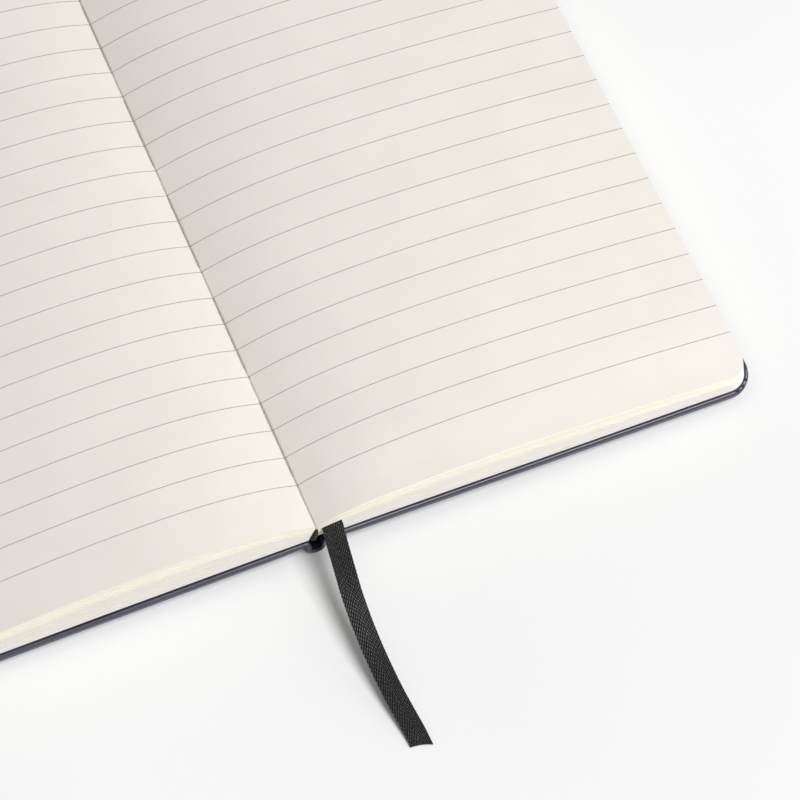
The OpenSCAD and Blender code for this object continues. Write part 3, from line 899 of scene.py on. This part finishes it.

# Spine and joints
# Between the boards the leatherette is backed only by a card strip and folds down into a loop under the
# open fold. Its ends are turned in over the card.
loop_w, loop_short = 3.7, 0.09
loop_mid, loop_top = (loop_w - leather_t) / 2, joint_z - loop_short


def turned_in(v, half_len, fold_r):
    """Where a point of the flat cloth goes along the spine, and how far it moves inwards."""
    past = abs(v) - (half_len - fold_r)
    if past < 0:
        return v, 0
    turn = min(past / fold_r, math.pi)
    y = half_len - fold_r + fold_r * math.sin(turn) - max(0, past - math.pi * fold_r)
    return math.copysign(y, v), fold_r * (1 - math.cos(turn))


def spine_cloth(name, line, inwards, half_len, fold_r, turn_in, thickness):
    """A strip of cloth along the spine: line is its section, and inwards points into the book."""
    near_end = half_len - fold_r
    ends = [near_end + fold_r * math.pi * k / 8 for k in range(9)]
    ends.append(near_end + fold_r * math.pi + turn_in)
    half = [0, 6, 12, 18, 24, 30, 36, 42, 48, 54, 60, 65, 68, 69.5, near_end - 0.4] + ends
    stations = sorted({-v for v in half} | set(half))
    across = len(line)
    bpy.ops.object.select_all(action="DESELECT")
    bpy.ops.mesh.primitive_grid_add(x_subdivisions=across - 1, y_subdivisions=len(stations) - 1, size=2)
    cloth = bpy.context.object
    cloth.name = cloth.data.name = name
    for v in cloth.data.vertices:
        i = round((v.co.x + 1) / 2 * (across - 1))
        j = round((v.co.y + 1) / 2 * (len(stations) - 1))
        y, inset = turned_in(stations[j], half_len, fold_r)
        x, z = line[i][0] + inwards[i][0] * inset, line[i][1] + inwards[i][1] * inset
        v.co = Vector((x, y, z)) * MM
    activate(cloth)
    cloth_t = cloth.modifiers.new("cloth", "SOLIDIFY")
    cloth_t.thickness = thickness * MM
    cloth_t.offset = 0
    bpy.ops.object.modifier_apply(modifier="cloth")
    face_outwards(cloth)
    cloth.data.materials.append(leather_finish)
    bpy.ops.object.shade_smooth_by_angle(angle=math.radians(50))
    return cloth


wall_steps, bottom_steps, cloth_half_len = 5, 24, cover_h / 2 - leather_t / 2
loop_line, loop_in = [], []
for k in range(wall_steps):
    loop_line.append((-loop_mid, loop_top - (loop_top - loop_w / 2) * k / wall_steps))
    loop_in.append((1, 0))
for k in range(bottom_steps + 1):
    a = math.pi * k / bottom_steps
    loop_line.append((-loop_mid * math.cos(a), loop_w / 2 - loop_mid * math.sin(a)))
    loop_in.append((math.cos(a), math.sin(a)))
for k in range(1, wall_steps + 1):
    loop_line.append((loop_mid, loop_w / 2 + (loop_top - loop_w / 2) * k / wall_steps))
    loop_in.append((-1, 0))
loop = spine_cloth("spine_loop", loop_line, loop_in, cloth_half_len, fold_r=0.29, turn_in=8,
                   thickness=leather_t)
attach(loop, "root")
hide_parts("spine_leatherette")

# Black card is dull, with faint lighter flecks
card_finish, shader = new_finish("black_card", roughness=0.8, specular=0.2)
place = add(card_finish, "TexCoord")
flecks = add(card_finish, "TexNoise",
             {"Vector": place.outputs["Object"], "Scale": 1.5 / MM, "Detail": 5})
card_shade = add(card_finish, "ValToRGB", {0: flecks.outputs[0]})
card_shade.color_ramp.elements[0].color = linear("#0f0f10")
card_shade.color_ramp.elements[1].color = linear("#1d1d1f")
card_finish.node_tree.links.new(card_shade.outputs[0], shader.inputs["Base Color"])
dress("spine_inlay", card_finish)

# From the loop's wall the cloth rises over the joint's groove and comes down onto the cover
joint_shape = [Vector((x, 0, joint_z + rise_mm)) for x, rise_mm in (
    (loop_mid, -0.15), (1.74, 0.2), (1.92, 0.53), (2.3, 0.71), (2.85, 0.69), (3.4, 0.49), (4.0, 0.24),
    (4.6, 0.09), (5.4, 0.05))]
joint_points = [p for i, p in along_route(joint_shape, 0.16)]
for side in (1, -1):
    line, inward = [], []
    for k, p in enumerate(joint_points):
        run = joint_points[min(k + 1, len(joint_points) - 1)] - joint_points[max(k - 1, 0)]
        run.normalize()
        line.append((side * p.x, p.z))
        inward.append((side * -run.z, run.x))
    strip = spine_cloth(cover_names[side] + "_joint_leatherette", line, inward, cloth_half_len,
                        fold_r=0.15, turn_in=6, thickness=leather_t)
    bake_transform(strip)
